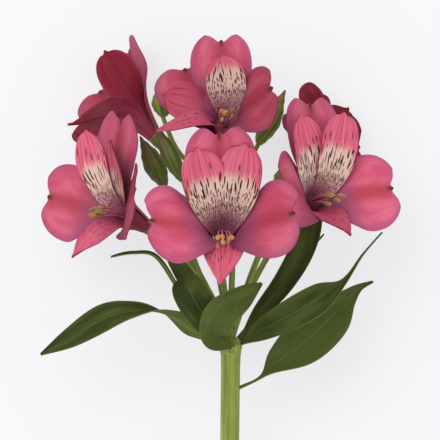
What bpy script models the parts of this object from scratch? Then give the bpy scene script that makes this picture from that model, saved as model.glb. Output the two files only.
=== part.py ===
"""A cut alstroemeria stem, laid down on a surface with its flower head looking up.

Metres, +Z up, the surface at Z = 0. +Y runs along the stalk from its cut end to the flower head.
The layout is measured from the whorl, the ring of leaves below the umbel. An empty carries all
pieces and puts the middle of their footprint on the world origin.
"""

import math
from collections import namedtuple

import bmesh
import bpy
from mathutils import Matrix, Vector

MM = 0.001

# Driving dimensions
STALK_LENGTH = 175 * MM
STALK_RADIUS = 4.0 * MM
STALK_SWAY = -0.6 * MM
WHORL_RADIUS = 4.7 * MM
WHORL_HEIGHT = 48 * MM
RAY_RADIUS = 1.25 * MM
BUD_STALK_RADIUS = 0.95 * MM
SEAT_GAP = 0.3 * MM
PETAL_THICKNESS = 0.65 * MM
CLAW_HALF_WIDTH = 1.8 * MM
NOTCH_WIDTH = 3.5 * MM
LEAF_THICKNESS = 0.7 * MM
LEAF_ARCH = 0.45
OVARY_LENGTH = 8.0 * MM
OVARY_RADIUS = 2.9 * MM
CORE_RADIUS = 3.5 * MM
CORE_HEIGHT = 1.6 * MM
HUB_RADIUS = 1.5 * MM
HUB_HEIGHT = 0.8 * MM
FILAMENTS = 7
FILAMENT_RADIUS = 0.42 * MM
ANTHER_SIZE = (1.0 * MM, 1.0 * MM, 2.2 * MM)
FOOTPRINT_CENTRE = Vector((-4.56, -22.92, 0.0)) * MM

# How finely the shapes are cut into faces
PETAL_ROWS, PETAL_COLUMNS = 8, 4
LEAF_ROWS, LEAF_COLUMNS = 12, 4
SPINE_STEPS = 48
STALK_STEPS, RAY_STEPS, BUD_STALK_STEPS, FILAMENT_STEPS = 9, 7, 4, 4

# One petal form: the widest place as a share of the length, how round the tip is, how deep its
# notch, the azimuth and radius of the root, the angle between petal and axis at the claw, the
# stretch over which it bends out, and how the claw is folded and the blade curved across.
Petal = namedtuple(
    "Petal", "half_width widest roundness notch root seat lean_in bend_from bend_to fold curve"
)
PETALS = {
    "outer_top": Petal(13.5 * MM, 0.72, 2.3, 3.6 * MM, 90, 3.0 * MM, 14, 0.15, 0.75, 1.0, 0.10),
    "outer_left": Petal(15.5 * MM, 0.72, 2.3, 2.6 * MM, 210, 3.0 * MM, 15, 0.15, 0.65, 1.0, -0.10),
    "outer_right": Petal(15.5 * MM, 0.72, 2.3, 2.6 * MM, 330, 3.0 * MM, 15, 0.15, 0.65, 1.0, -0.10),
    "inner_left": Petal(8.6 * MM, 0.72, 2.5, 0.0, 150, 2.2 * MM, 9, 0.15, 0.80, 1.2, 0.30),
    "inner_right": Petal(8.6 * MM, 0.72, 2.5, 0.0, 30, 2.2 * MM, 9, 0.15, 0.80, 1.2, 0.30),
    "inner_low": Petal(8.2 * MM, 0.58, 1.35, 0.0, 270, 2.4 * MM, 14, 0.16, 0.72, 0.95, 0.40),
}

# Each bloom: its base from the whorl in millimetres, the way it looks, its roll and size, the
# reach and droop of its stamens in millimetres and the azimuth they droop towards, and how each
# petal lies: the azimuth of its blade, the angle between its tip and the bloom's axis, its
# twist, all in degrees, and its length in millimetres.
Bloom = namedtuple("Bloom", "base axis roll size stamens petals")
BLOOMS = {
    "front": Bloom((-3.6, 42.0, 85.0), (0.02, 0.55, 0.83), 3, 1.05, (22, 12, 268), {
        "outer_top": (90, 50, 0, 47), "outer_left": (189, 60, 14, 43), "outer_right": (351, 56, -14, 41.5),
        "inner_left": (104, 54, -4, 41.5), "inner_right": (75, 56, 4, 42.5), "inner_low": (263, 94, 0, 31.5)}),
    "left": Bloom((-34.8, 49.5, 50.0), (-0.70, 0.42, 0.58), -8, 1.03, (22, 4, 270), {
        "outer_top": (90, 68, 0, 49), "outer_left": (180, 74, 22, 46), "outer_right": (389, 57, 0, 40),
        "inner_left": (100, 48, -4, 46), "inner_right": (80, 47, 4, 43), "inner_low": (262, 66, 0, 34)}),
    "right": Bloom((28.0, 53.7, 48.0), (0.47, 0.54, 0.70), 5, 1.03, (22, 6, 270), {
        "outer_top": (88, 68, 0, 49), "outer_left": (173, 58, 14, 43), "outer_right": (353, 66, -22, 41),
        "inner_left": (103, 58, 0, 45), "inner_right": (76, 50, 0, 46), "inner_low": (271, 65, 0, 31.5)}),
    "top": Bloom((-2.0, 81.5, 50.0), (-0.14, 0.86, 0.50), 4, 0.96, (20, 9, 300), {
        "outer_top": (88, 30, 0, 47), "outer_left": (111, 70, 0, 46), "outer_right": (356, 52, -36, 41),
        "inner_left": (196, 62, 55, 37), "inner_right": (100, 22, 0, 39), "inner_low": (212, 86, 0, 42)}),
    "back_left": Bloom((-31.0, 86.0, 29.1), (-0.60, 0.74, -0.30), 24, 0.98, (22, 4, 270), {
        "outer_top": (128, 24, 8, 46), "outer_left": (190, 24, 0, 42), "outer_right": (302, 80, 0, 38),
        "inner_left": (150, 16, 0, 40), "inner_right": (30, 16, 30, 41), "inner_low": (262, 55, 0, 38)}),
    "back_right": Bloom((33.5, 80.5, 34.12), (0.25, 0.35, -0.90), 0, 0.90, (22, 4, 270), {
        "outer_top": (32, 48, 0, 38), "outer_left": (214, 32, 42, 36), "outer_right": (345, 36, 0, 36),
        "inner_left": (134, 30, 0, 34), "inner_right": (80, 34, 0, 41), "inner_low": (270, 40, 0, 38)}),
}

# Closed buds: base and tip from the whorl, the widest radius, and the ray that the stalk leaves
Bud = namedtuple("Bud", "name base tip radius ray leaves_at")
BUDS = (
    Bud("bud_left_tall", (-19.6, 68.0, 64.0), (-31.0, 91.2, 66.5), 3.6, "left", 0.45),
    Bud("bud_left_low", (-27.0, 66.0, 52.0), (-37.0, 86.0, 56.0), 4.4, "left", 0.55),
    Bud("bud_top_left", (-27.6, 94.7, 39.0), (-29.0, 108.0, 40.0), 4.4, "top", 0.55),
    Bud("bud_top_right", (11.5, 83.5, 37.0), (22.5, 105.5, 39.0), 4.4, "top", 0.7),
    Bud("bud_right_small", (19.0, 66.5, 54.0), (22.0, 73.5, 60.0), 2.6, "right", 0.6),
)

# Leaf midribs from the whorl: x, y, z and half width in millimetres, and the blade's turn in
# degrees about its midrib, 0 with the upper face to the sky.
LEAVES = {
    "leaf_left": (
        (-5.3, 0.5, 49, 1.3, 90), (-10, 4, 51, 4.5, 130), (-17, 8.5, 53, 6.0, 140),
        (-28, 14.2, 54, 4.4, 98), (-39.5, 14.8, 53, 4.6, 42), (-52, 11.5, 50, 6.0, 18),
        (-66, 3.5, 45, 4.2, 12), (-78.3, -3.4, 40, 0.5, 5)),
    "leaf_left_narrow": (
        (-4.8, 2.5, 46, 1.2, 90), (-14, 13, 50, 3.6, 88), (-22.5, 25, 54, 4.2, 88),
        (-31, 37, 56, 3.2, 84), (-40, 38.4, 55, 2.2, 75), (-49, 37.0, 52, 0.5, 60)),
    "leaf_front_left": (
        (-3.2, 2.0, 52.3, 1.3, 30), (-8.5, 9.5, 58, 5.6, 10), (-14, 18, 64, 7.2, 0), (-18, 25.5, 64, 6.4, 0),
        (-20, 29, 58.5, 0.6, 0)),
    "leaf_front": (
        (0.4, 0.5, 53.3, 1.3, 0), (-6.5, 4.5, 61, 5.5, 0), (-4, 14, 69, 7.0, 5), (5, 21.5, 73, 5.0, 15),
        (12.5, 26.5, 75, 0.6, 20)),
    "leaf_right": (
        (5.0, 1.5, 50, 1.3, -60), (12.5, 6.8, 53, 4.4, -10), (24.5, 13.6, 57, 6.4, 0),
        (36, 20.4, 59, 6.0, 0), (46, 26.8, 57, 1.6, -30), (54, 38.0, 53, 0.6, -60), (62, 47, 47, 0.4, -60)),
    "leaf_right_low": (
        (4.9, -16.6, 41.6, 1.1, -60), (12.5, -12.8, 42, 1.6, -70), (20, -6, 42, 6.0, -25),
        (30, 1.5, 42, 9.6, -5), (41, 11.5, 40, 9.0, 0), (48, 19.5, 38, 4.2, 0),
        (53, 24, 36, 1.6, 0), (59, 26.5, 33, 0.4, 0)),
    "leaf_right_tall": (
        (4.6, 3.4, 44.2, 1.2, 0), (12.0, 14, 43, 3.2, 0), (21.5, 26, 41, 4.6, 5),
        (28.5, 38, 37, 5.4, 10), (32.5, 50, 33, 5.2, 10), (34.5, 62, 29, 3.0, 10), (35, 69, 26, 0.5, 10)),
    "leaf_right_narrow": (
        (1.5, 2.0, 42.6, 1.2, 60), (15.5, 18, 36, 3.4, 80), (27.5, 33, 30, 3.4, 85), (33.5, 41, 26, 2.4, 80),
        (39, 46, 22, 0.4, 70)),
    "leaf_back_left": (
        (-3.2, 1.5, 43.6, 1.3, 20), (-10, 16, 35, 4.5, 10), (-18, 30, 26, 5.4, 0), (-24, 38, 18, 3.4, 0),
        (-27, 44, 12, 0.5, 0)),
}

# A closed bud's outline, as shares of its length and radius, from its tip down to its foot
BUD_OUTLINE = (
    (1.0, 0.0), (0.93, 0.14), (0.80, 0.42), (0.62, 0.80),
    (0.42, 1.0), (0.24, 0.84), (0.10, 0.56), (0.0, 0.30),
)

# Each finish: its name, colour and roughness
PINK = ("petal_pink", (0.72, 0.10, 0.22), 0.55)
STALK_GREEN = ("stalk_green", (0.24, 0.36, 0.07), 0.5)
LEAF_GREEN = ("leaf_green", (0.05, 0.12, 0.03), 0.5)
BUD_GREEN = ("bud_green", (0.10, 0.17, 0.03), 0.5)
ANTHER_TAN = ("anther_tan", (0.45, 0.28, 0.12), 0.7)


def clear_scene():
    for item in list(bpy.data.objects):
        bpy.data.objects.remove(item)


def material_of(finish):
    """The material of a finish, made on first use."""
    name, colour, roughness = finish
    found = bpy.data.materials.get(name)
    if found:
        return found
    made = bpy.data.materials.new(name)
    made.use_nodes = True
    shader = made.node_tree.nodes["Principled BSDF"]
    shader.inputs["Base Color"].default_value = (*colour, 1)
    shader.inputs["Roughness"].default_value = roughness
    shader.inputs["Metallic"].default_value = 0
    return made


def ease(value, low, high):
    """0 below low, 1 above high, smooth between."""
    share = min(max((value - low) / (high - low), 0.0), 1.0)
    return share * share * (3 - 2 * share)


def object_from(mesh, name):
    made = bpy.data.objects.new(name, mesh)
    bpy.context.scene.collection.objects.link(made)
    return made


def move_to(collection, item):
    for holder in list(item.users_collection):
        holder.objects.unlink(item)
    collection.objects.link(item)


def evaluated_mesh(item):
    """A plain mesh of the object with its modifiers applied."""
    graph = bpy.context.evaluated_depsgraph_get()
    return bpy.data.meshes.new_from_object(item.evaluated_get(graph), depsgraph=graph)


def as_mesh(item, name):
    """Replaces a curve, or an object with modifiers, by one plain closed mesh."""
    mesh = evaluated_mesh(item)
    work = bmesh.new()
    work.from_mesh(mesh)
    bmesh.ops.remove_doubles(work, verts=work.verts, dist=0.001 * MM)
    bmesh.ops.recalc_face_normals(work, faces=work.faces)
    work.to_mesh(mesh)
    work.free()
    place = item.matrix_world.copy()
    bpy.data.objects.remove(item)
    made = object_from(mesh, name)
    made.matrix_world = place
    return made


def fuse(name, pieces, finish):
    """Joins pieces that overlap into one closed body, by a Boolean union on a collection."""
    body = pieces[0]
    together = bpy.data.collections.new(name + "_pieces")
    bpy.context.scene.collection.children.link(together)
    for piece in pieces[1:]:
        move_to(together, piece)
    union = body.modifiers.new("union", "BOOLEAN")
    union.operation = "UNION"
    union.operand_type = "COLLECTION"
    union.collection = together
    union.solver = "MANIFOLD"
    bpy.context.view_layer.update()
    mesh = evaluated_mesh(body)
    for piece in pieces:
        bpy.data.objects.remove(piece)
    bpy.data.collections.remove(together)
    fused = object_from(mesh, name)
    mesh.name = name
    fused.data.materials.clear()
    fused.data.materials.append(material_of(finish))
    return fused


def grid_of(name, rows, columns, place):
    """An open sheet of triangles, with place(t, s) giving each point for t from 0 to 1 along it
    and s from -1 to 1 across it."""
    work = bmesh.new()
    bmesh.ops.create_grid(work, x_segments=columns, y_segments=rows, size=1.0)
    for vertex in work.verts:
        along, across = (vertex.co.y + 1) / 2, vertex.co.x
        vertex.co = place(along, across)
    bmesh.ops.triangulate(work, faces=work.faces)
    mesh = bpy.data.meshes.new(name)
    work.to_mesh(mesh)
    work.free()
    return object_from(mesh, name)


def thicken(sheet, thickness):
    """Gives the sheet its thickness, half on either side, with triangles alike on both faces."""
    solid = sheet.modifiers.new("thickness", "SOLIDIFY")
    solid.thickness = thickness
    solid.offset = 0
    return as_mesh(sheet, sheet.name)


def arched(middle, across, normal, half_width, cup, s):
    """A point of a cross-section that is an arc: cup is the arc's half angle in radians."""
    if abs(cup) < 0.01:
        return middle + across * (s * half_width)
    sideways = math.sin(cup * s) / cup
    rise = (1 - math.cos(cup * s)) / cup
    return middle + (across * sideways + normal * rise) * half_width


def petal_half_width(form, t):
    """Narrow at the claw, widest at form.widest, round or pointed at the tip."""
    if t < form.widest:
        return CLAW_HALF_WIDTH + (form.half_width - CLAW_HALF_WIDTH) * ease(t, 0.06, form.widest)
    end = (t - form.widest) / ((1.03 if form.notch else 1.005) - form.widest)
    return form.half_width * (1 - end**form.roundness) ** (1 / form.roundness)


def petal_spine(form, lie):
    """The petal's middle line in its bloom's frame, +Z out of the mouth and +Y the upper side:
    at each step the point, and the directions along the petal, across it and out of its face."""
    blade, lean_out, twist, length = lie
    steps = []
    middle = Vector((0, 0, 0.4 * MM))
    before = None
    for i in range(SPINE_STEPS + 1):
        t = i / SPINE_STEPS
        azimuth = math.radians(form.root + (blade - form.root) * ease(t, 0.05, 0.55))
        bend = ease(t, form.bend_from, form.bend_to)
        lean = math.radians(form.lean_in + (lean_out - form.lean_in) * bend)
        outwards = Vector((math.cos(azimuth), math.sin(azimuth), 0))
        upwards = Vector((0, 0, 1))
        along = outwards * math.sin(lean) + upwards * math.cos(lean)
        if before is None:
            middle = middle + outwards * form.seat
        else:
            middle = middle + (along + before) * (0.5 * length * MM / SPINE_STEPS)
        before = along
        normal = upwards * math.sin(lean) - outwards * math.cos(lean)
        across = along.cross(normal)
        turn = math.radians(twist) * ease(t, 0.3, 0.8)
        turned = across * math.cos(turn) + normal * math.sin(turn)
        normal = normal * math.cos(turn) - across * math.sin(turn)
        steps.append((middle, along, turned, normal))
    return steps


def petal_point(form, spine, t, s):
    """A point of the petal: t from 0 at the root to 1 at the tip, s from -1 to 1 across."""
    place = t * SPINE_STEPS
    i = min(int(place), SPINE_STEPS - 1)
    middle, along, across, normal = (
        low.lerp(high, place - i) for low, high in zip(spine[i], spine[i + 1])
    )
    half_width = petal_half_width(form, t)
    bow = form.fold + (form.curve - form.fold) * ease(t, 0.15, 0.6)
    point = arched(middle, across, normal, half_width, bow, s)
    aside = half_width * math.sin(bow * s) / bow
    cut = form.notch * math.exp(-((aside / NOTCH_WIDTH) ** 2)) * ease(t, 0.5, 1.0)
    return point - along * cut


def towards_tip(t):
    """Rows lie closer together at a rounded tip."""
    return math.sin(t * math.pi / 2) ** 0.9


def bloom_frame(bloom):
    """The matrix of a bloom: its axis along +Z, its upper side towards the head of the stem."""
    axis = Vector(bloom.axis).normalized()
    upper = (Vector((0, 1, 0)) - axis * axis.y).normalized()
    side = upper.cross(axis)
    turn = Matrix((side, upper, axis)).transposed().to_4x4()
    roll = Matrix.Rotation(math.radians(bloom.roll), 4, "Z")
    size = Matrix.Scale(bloom.size, 4)
    return Matrix.Translation(Vector(bloom.base) * MM) @ turn @ roll @ size


def disc(name, radius, low, high, sides=12):
    """A short upright cylinder from low to high."""
    bpy.ops.mesh.primitive_cylinder_add(
        vertices=sides, radius=radius, depth=high - low, location=(0, 0, (low + high) / 2)
    )
    made = bpy.context.object
    made.name = name
    made.data.transform(made.matrix_world)
    made.matrix_world = Matrix.Identity(4)
    return made


def make_tepals(name, bloom):
    """The six petals of a bloom, rooted in the small disc on top of the ovary."""
    pieces = [disc("core", CORE_RADIUS, 0, CORE_HEIGHT)]
    for petal, form in PETALS.items():
        spine = petal_spine(form, bloom.petals[petal])
        sheet = grid_of(
            petal, PETAL_ROWS, PETAL_COLUMNS,
            lambda t, s, form=form, spine=spine: petal_point(form, spine, towards_tip(t), s),
        )
        pieces.append(thicken(sheet, PETAL_THICKNESS))
    tepals = fuse("tepals_" + name, pieces, PINK)
    tepals.matrix_world = bloom_frame(bloom)
    return tepals


def tube(name, points, radii, ring=2):
    """A round tube through the points, as thick at each as its radius."""
    curve = bpy.data.curves.new(name, "CURVE")
    curve.dimensions = "3D"
    curve.bevel_depth = 1
    curve.bevel_resolution = ring
    curve.use_fill_caps = True
    line = curve.splines.new("POLY")
    line.points.add(len(points) - 1)
    for knot, point, radius in zip(line.points, points, radii):
        knot.co = (*point, 1)
        knot.radius = radius
    return as_mesh(object_from(curve, name), name)


def bezier(start, leave, arrive, end, count):
    """count + 1 points of a cubic curve."""
    points = []
    for i in range(count + 1):
        t = i / count
        points.append(
            start * (1 - t) ** 3 + leave * 3 * t * (1 - t) ** 2 + arrive * 3 * t * t * (1 - t) + end * t**3
        )
    return points


def filament_points(bloom, i):
    """The middle line of filament i: up out of the hub, then down along one side of the bloom."""
    reach, droop, side = bloom.stamens
    azimuth = 2 * math.pi * i / FILAMENTS
    foot = Vector((0.8 * math.cos(azimuth), 0.8 * math.sin(azimuth) + 0.3, 0)) * MM
    foot.z = CORE_HEIGHT + SEAT_GAP + 0.3 * MM
    spread = Vector((2.6 * math.cos(azimuth), 1.7 * math.sin(azimuth), 0)) * MM
    lower = Vector((math.cos(math.radians(side)), math.sin(math.radians(side)), 0))
    end = (lower * droop + Vector((0, 0, reach + 2.0 * math.cos(2.4 * i)))) * MM + spread
    leave = foot + Vector((0, 0, 0.6 * reach)) * MM
    arrive = end - (lower * (1.0 + 0.1 * droop) + Vector((0, 0, 2.0))) * MM
    return bezier(foot, leave, arrive, end, FILAMENT_STEPS)


def make_anther(end, along):
    """A long grain on the end of a filament, in line with it."""
    bpy.ops.mesh.primitive_uv_sphere_add(segments=5, ring_count=4, radius=1)
    anther = bpy.context.object
    anther.data.transform(Matrix.Diagonal((*ANTHER_SIZE, 1)))
    anther.data.transform(along.to_track_quat("Z", "Y").to_matrix().to_4x4())
    anther.data.transform(Matrix.Translation(end + along * ANTHER_SIZE[2] / 2))
    return anther


def make_stamens(name, bloom):
    """Six stamens and the style, all bent towards one side of the bloom, on a small disc."""
    hub_low = CORE_HEIGHT + SEAT_GAP
    pieces = [disc("hub", HUB_RADIUS, hub_low, hub_low + HUB_HEIGHT, 8)]
    for i in range(FILAMENTS):
        points = filament_points(bloom, i)
        pieces.append(tube("filament", points, [FILAMENT_RADIUS] * len(points), 0))
        if i < FILAMENTS - 1:
            pieces.append(make_anther(points[-1], (points[-1] - points[-2]).normalized()))
    stamens = fuse("stamens_" + name, pieces, ANTHER_TAN)
    stamens.matrix_world = bloom_frame(bloom)
    return stamens


def stalk_line():
    """The stalk's middle line: on the surface at the cut end, rising in a bow to the whorl."""
    points = []
    for i in range(STALK_STEPS + 1):
        share = i / STALK_STEPS
        height = STALK_RADIUS + (WHORL_HEIGHT - STALK_RADIUS) * share**1.6
        sway = STALK_SWAY * math.sin(math.pi * share)
        points.append(Vector((sway, -STALK_LENGTH * (1 - share), height)))
    return points


def ray_points(end, axis):
    """A ray of the umbel, from the whorl to the base of an ovary."""
    start = Vector((0, 1.0 * MM, WHORL_HEIGHT))
    reach = (end - start).length
    leave = ((end - start).normalized() + Vector((0, 1, 0.1))).normalized()
    return bezier(start, start + leave * reach * 0.35, end - axis * reach * 0.35, end, RAY_STEPS)


def bud_stalk_points(bud, ray):
    """A bud's own stalk, from its place on the ray to just under the bud."""
    place = bud.leaves_at * RAY_STEPS
    step = int(place)
    start = ray[step].lerp(ray[step + 1], place - step)
    onwards = (ray[step + 1] - ray[step]).normalized()
    axis = (Vector(bud.tip) - Vector(bud.base)).normalized()
    end = Vector(bud.base) * MM - axis * SEAT_GAP
    below = end - axis * 1.5 * MM
    reach = (end - start).length
    leave, arrive = start + onwards * reach * 0.4, below - axis * reach * 0.3
    return bezier(start, leave, arrive, below, BUD_STALK_STEPS) + [end]


def make_stem():
    """The stalk, the umbel's rays with the ovaries on their ends, and the bud stalks, as one body."""
    line = stalk_line()
    pieces = [tube("stalk", line, [STALK_RADIUS] * (len(line) - 1) + [STALK_RADIUS * 0.9], 4)]
    bpy.ops.mesh.primitive_uv_sphere_add(segments=12, ring_count=8, radius=WHORL_RADIUS, location=line[-1])
    swelling = bpy.context.object
    swelling.data.transform(swelling.matrix_world)
    swelling.matrix_world = Matrix.Identity(4)
    pieces.append(swelling)
    rays = {}
    for name, bloom in BLOOMS.items():
        axis = Vector(bloom.axis).normalized()
        base = Vector(bloom.base) * MM - axis * SEAT_GAP
        points = ray_points(base - axis * OVARY_LENGTH, axis)
        rays[name] = points
        shoulder = [base - axis * OVARY_LENGTH * share for share in (0.72, 0.4, 0.12, 0.0)]
        radii = [RAY_RADIUS] * len(points)
        radii += [OVARY_RADIUS * 0.72, OVARY_RADIUS, OVARY_RADIUS * 0.94, OVARY_RADIUS * 0.8]
        pieces.append(tube("ray_" + name, points + shoulder, radii))
    for bud in BUDS:
        points = bud_stalk_points(bud, rays[bud.ray])
        pieces.append(tube("bud_stalk", points, [BUD_STALK_RADIUS] * len(points), 1))
    return fuse("stem", pieces, STALK_GREEN)


def make_bud(bud):
    """A closed bud: an ovary below, and the outer petals folded to a point."""
    base, tip = Vector(bud.base) * MM, Vector(bud.tip) * MM
    length, radius = (tip - base).length, bud.radius * MM
    mesh = bpy.data.meshes.new(bud.name)
    points = [(radius * across, 0, length * along) for along, across in BUD_OUTLINE] + [(0, 0, 0)]
    mesh.from_pydata(points, [(i, i + 1) for i in range(len(points) - 1)], [])
    turned = object_from(mesh, bud.name)
    screw = turned.modifiers.new("turn", "SCREW")
    screw.steps = screw.render_steps = 10
    screw.use_merge_vertices = True
    screw.merge_threshold = 0.01 * MM
    made = as_mesh(turned, bud.name)
    made.data.materials.append(material_of(BUD_GREEN))
    upright = (tip - base).to_track_quat("Z", "Y").to_matrix().to_4x4()
    made.matrix_world = Matrix.Translation(base) @ upright
    return made


def through(stations, t):
    """The values at t from 0 to 1 on a smooth curve through all stations."""
    spans = len(stations) - 1
    place = min(t * spans, spans - 1e-6)
    i, u = int(place), place - int(place)
    before, here = stations[max(i - 1, 0)], stations[i]
    after, beyond = stations[i + 1], stations[min(i + 2, spans)]
    return [
        0.5 * (2 * b + (c - a) * u + (2 * a - 5 * b + 4 * c - d) * u * u + (3 * b - a - 3 * c + d) * u**3)
        for a, b, c, d in zip(before, here, after, beyond)
    ]


def leaf_point(stations, t, s):
    """A point of a leaf blade that arches about its midrib."""
    x, y, z, half_width, turn = through(stations, t)
    ahead, behind = through(stations, min(t + 0.01, 1)), through(stations, max(t - 0.01, 0))
    along = (Vector(ahead[:3]) - Vector(behind[:3])).normalized()
    face = Vector((0, 0, 1))
    face = (face - along * face.dot(along)).normalized()
    side = along.cross(face)
    angle = math.radians(turn)
    normal = face * math.cos(angle) + side * math.sin(angle)
    across = side * math.cos(angle) - face * math.sin(angle)
    middle = Vector((x, y, z)) * MM
    return arched(middle, across, normal, max(half_width, 0.3) * MM, LEAF_ARCH, s)


def make_leaf(name, stations):
    sheet = grid_of(name, LEAF_ROWS, LEAF_COLUMNS, lambda t, s: leaf_point(stations, t, s))
    leaf = thicken(sheet, LEAF_THICKNESS)
    leaf.data.materials.append(material_of(LEAF_GREEN))
    return leaf


def main():
    clear_scene()
    parts = [make_stem()]
    for name, bloom in BLOOMS.items():
        parts += [make_tepals(name, bloom), make_stamens(name, bloom)]
    parts += [make_bud(bud) for bud in BUDS]
    parts += [make_leaf(name, stations) for name, stations in LEAVES.items()]
    whole = bpy.data.collections.new("alstroemeria_stem")
    bpy.context.scene.collection.children.link(whole)
    carrier = bpy.data.objects.new("footprint", None)
    carrier.location = -FOOTPRINT_CENTRE
    whole.objects.link(carrier)
    for part in parts:
        move_to(whole, part)
        part.parent = carrier
        part.data.shade_smooth()
        part.data.set_sharp_from_angle(angle=math.radians(60))


main()
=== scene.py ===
"""The looks of a cut alstroemeria stem that lies on a pale surface, seen from above.

Metres, +Z up. The tables give millimetres from the whorl, the ring of leaves below the flower head.
"""

import math
from collections import namedtuple

import bpy
from mathutils import Matrix, Vector, noise


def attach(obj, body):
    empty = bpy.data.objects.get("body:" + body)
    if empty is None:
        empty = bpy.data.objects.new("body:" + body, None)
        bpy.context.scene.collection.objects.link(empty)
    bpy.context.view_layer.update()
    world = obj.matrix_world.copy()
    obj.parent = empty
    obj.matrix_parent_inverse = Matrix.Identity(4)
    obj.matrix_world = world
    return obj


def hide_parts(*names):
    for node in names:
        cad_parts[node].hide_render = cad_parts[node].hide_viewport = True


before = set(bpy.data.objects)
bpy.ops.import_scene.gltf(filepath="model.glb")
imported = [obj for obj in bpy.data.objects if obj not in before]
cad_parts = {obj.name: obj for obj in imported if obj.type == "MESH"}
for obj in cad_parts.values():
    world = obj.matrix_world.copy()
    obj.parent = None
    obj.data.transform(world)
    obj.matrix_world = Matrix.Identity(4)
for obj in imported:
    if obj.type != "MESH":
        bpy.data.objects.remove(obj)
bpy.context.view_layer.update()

MM = 0.001

# The stem's own measures
STALK_LENGTH = 175 * MM
STALK_RADIUS = 4.0 * MM
STALK_SWAY = -0.6 * MM
WHORL_RADIUS = 4.7 * MM
WHORL_HEIGHT = 48 * MM
RAY_RADIUS = 1.25 * MM
BUD_STALK_RADIUS = 0.95 * MM
OVARY_LENGTH = 8.0 * MM
OVARY_RADIUS = 2.9 * MM
SEAT_GAP = 0.3 * MM
CORE_RADIUS = 3.0 * MM
CORE_HEIGHT = 1.6 * MM
PETAL_THICKNESS = 0.4 * MM
CLAW_HALF_WIDTH = 2.8 * MM
NOTCH_WIDTH = 3.5 * MM
LEAF_THICKNESS = 0.45 * MM
LEAF_ARCH = 0.45
FILAMENTS = 7
FILAMENT_RADIUS = 0.36 * MM
ANTHER_SIZE = (1.05 * MM, 0.9 * MM, 2.4 * MM)
FOOTPRINT_CENTRE = Vector((-4.56, -22.92, 0.0)) * MM

# How finely the pieces are cut into faces
PETAL_ROWS, PETAL_COLUMNS = 60, 30
LEAF_ROWS, LEAF_COLUMNS = 90, 22
SPINE_STEPS = 48
STALK_STEPS, RAY_STEPS, BUD_STALK_STEPS, FILAMENT_STEPS = 9, 7, 4, 4

# The view: straight down, with the photograph's frame 176 mm wide at the front bloom's height
FRAME_WIDTH = 176 * MM
FRAME_PIXELS = 440
WHORL_PIXEL = (231, 350)
BLOOM_HEIGHT = 85 * MM
VIEW_DISTANCE = 1.5

Petal = namedtuple(
    "Petal", "half_width widest roundness notch root seat lean_in bend_from bend_to fold curve"
)
PETALS = {
    "outer_top": Petal(13.5 * MM, 0.72, 2.3, 3.6 * MM, 90, 3.0 * MM, 14, 0.15, 0.75, 1.0, 0.10),
    "outer_left": Petal(15.5 * MM, 0.72, 2.3, 2.6 * MM, 210, 3.0 * MM, 15, 0.15, 0.65, 1.0, -0.10),
    "outer_right": Petal(15.5 * MM, 0.72, 2.3, 2.6 * MM, 330, 3.0 * MM, 15, 0.15, 0.65, 1.0, -0.10),
    "inner_left": Petal(8.6 * MM, 0.72, 2.5, 0.0, 150, 2.2 * MM, 9, 0.15, 0.80, 1.2, 0.30),
    "inner_right": Petal(8.6 * MM, 0.72, 2.5, 0.0, 30, 2.2 * MM, 9, 0.15, 0.80, 1.2, 0.30),
    "inner_low": Petal(8.2 * MM, 0.58, 1.35, 0.0, 270, 2.4 * MM, 14, 0.16, 0.72, 0.95, 0.40),
}

# Each bloom: its base, the way it looks, its roll and size, the reach and droop of its stamens and
# the azimuth they droop towards, and each petal's azimuth, lean, twist and length, in degrees and
# millimetres.
Bloom = namedtuple("Bloom", "base axis roll size stamens petals")
BLOOMS = {
    "front": Bloom((-3.6, 42.0, 85.0), (0.02, 0.55, 0.83), 3, 1.05, (22, 12, 268), {
        "outer_top": (90, 50, 0, 47), "outer_left": (189, 60, 14, 43), "outer_right": (351, 56, -14, 41.5),
        "inner_left": (104, 54, -4, 41.5), "inner_right": (75, 56, 4, 42.5), "inner_low": (263, 94, 0, 31.5)}),
    "left": Bloom((-34.8, 49.5, 50.0), (-0.70, 0.42, 0.58), -8, 1.03, (22, 4, 270), {
        "outer_top": (90, 68, 0, 49), "outer_left": (180, 74, 22, 46), "outer_right": (389, 57, 0, 40),
        "inner_left": (100, 48, -4, 46), "inner_right": (80, 47, 4, 43), "inner_low": (262, 66, 0, 34)}),
    "right": Bloom((28.0, 53.7, 48.0), (0.47, 0.54, 0.70), 5, 1.03, (22, 6, 270), {
        "outer_top": (88, 68, 0, 49), "outer_left": (173, 58, 14, 43), "outer_right": (353, 66, -22, 41),
        "inner_left": (103, 58, 0, 45), "inner_right": (76, 50, 0, 46), "inner_low": (271, 65, 0, 31.5)}),
    "top": Bloom((-2.0, 81.5, 50.0), (-0.14, 0.86, 0.50), 4, 0.96, (20, 9, 300), {
        "outer_top": (88, 30, 0, 47), "outer_left": (111, 70, 0, 46), "outer_right": (356, 52, -36, 41),
        "inner_left": (196, 62, 55, 37), "inner_right": (100, 22, 0, 39), "inner_low": (212, 86, 0, 42)}),
    "back_left": Bloom((-31.0, 86.0, 29.1), (-0.60, 0.74, -0.30), 24, 0.98, (22, 4, 270), {
        "outer_top": (128, 24, 8, 46), "outer_left": (190, 24, 0, 42), "outer_right": (302, 80, 0, 38),
        "inner_left": (150, 16, 0, 40), "inner_right": (30, 16, 30, 41), "inner_low": (262, 55, 0, 38)}),
    "back_right": Bloom((33.5, 80.5, 34.12), (0.25, 0.35, -0.90), 0, 0.90, (22, 4, 270), {
        "outer_top": (32, 48, 0, 38), "outer_left": (214, 32, 42, 36), "outer_right": (345, 36, 0, 36),
        "inner_left": (134, 30, 0, 34), "inner_right": (80, 34, 0, 41), "inner_low": (270, 40, 0, 38)}),
}

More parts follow.
